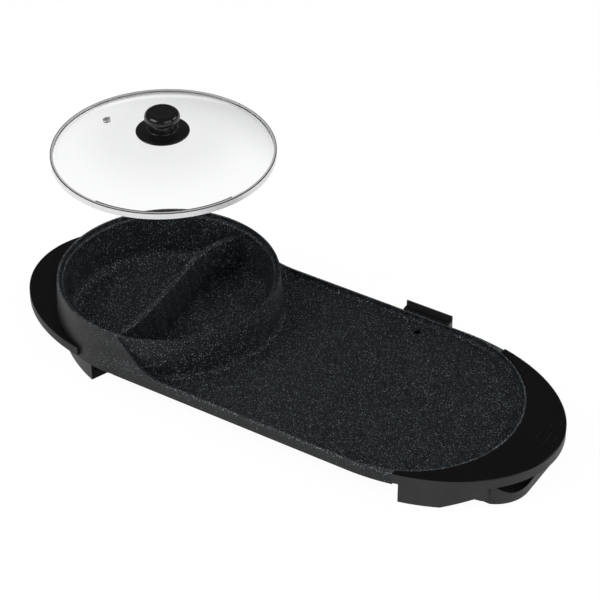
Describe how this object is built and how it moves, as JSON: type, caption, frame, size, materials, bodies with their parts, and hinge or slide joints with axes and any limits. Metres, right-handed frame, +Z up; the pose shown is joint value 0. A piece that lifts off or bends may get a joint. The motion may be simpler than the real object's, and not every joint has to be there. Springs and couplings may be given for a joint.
{
  "type": "countertop electric hot pot and griddle",
  "caption": "Countertop electric cooker with a divided round hot pot and a long griddle in one pan, lifted clear glass lid, touch-control end and pull-out drip tray.",
  "frame": {"origin": "middle of the underside of the whole object's box, on the table", "axes": "+X along the cooker from the pot to the control end, +Y to the rear where the drip tray pulls out, +Z up"},
  "size_m": [0.704, 0.283, 0.3094],
  "materials": {
    "granite_coat": "speckled non-stick coating over cast aluminium",
    "black_plastic": "fine-textured moulding",
    "grey_plastic": "fine-textured moulding",
    "panel_gloss": "polished",
    "knob_gloss": "polished phenolic",
    "lid_glass": "clear tempered",
    "steel": "satin",
    "sheet_steel": "black baked",
    "heater_sheath": "oxidised",
    "ceramic": null,
    "board_green": "solder-masked laminate",
    "brass": "plain",
    "lead_sleeve": "silicone sleeve",
    "rubber": "plain",
    "tray_plastic": "satin"
  },
  "bodies": {
    "root": {"pot_shell": "granite_coat", "pot_divider": "granite_coat", "griddle_plate": "granite_coat", "left_handle": "black_plastic", "handle_screws": "steel", "front_left_leg": "grey_plastic", "rear_left_leg": "grey_plastic", "front_right_leg": "grey_plastic", "rear_right_leg": "grey_plastic", "leg_screws": "steel", "foot_pads": "rubber", "control_housing": "grey_plastic", "housing_screws": "steel", "control_panel": "panel_gloss", "touch_board": "board_green", "touch_springs": "steel", "control_base": "grey_plastic", "base_plate": "black_plastic", "base_screws": "steel", "inlet_socket": "black_plastic", "inlet_pins": "brass", "pot_heater": "heater_sheath", "griddle_heater": "heater_sheath", "heater_beads": "ceramic", "heater_clips": "steel", "pot_thermostat": "steel", "griddle_thermostat": "steel", "thermal_fuse": "ceramic", "base_cover": "sheet_steel", "pot_base_cover": "sheet_steel", "cover_screws": "steel", "power_board": "board_green", "relays": "black_plastic", "terminal_block": "ceramic", "supply_leads": "lead_sleeve", "tray_runners": "steel", "runner_screws": "steel"},
    "lid": {"lid_rim": "steel", "lid_glass": "lid_glass", "vent_grommet": "steel", "knob_base": "knob_gloss", "lid_knob": "knob_gloss", "knob_washer": "rubber", "knob_screw": "steel"},
    "tray": {"drip_tray": "tray_plastic"}
  },
  "joints": [
    {"name": "lid_lift", "type": "slide", "parent": "root", "child": "lid", "axis": [0, 0, 1], "range_m": [-0.1714, 0]},
    {"name": "drip_tray_slide", "type": "slide", "parent": "root", "child": "tray", "axis": [0, 1, 0], "range_m": [0, 0.055]}
  ]
}
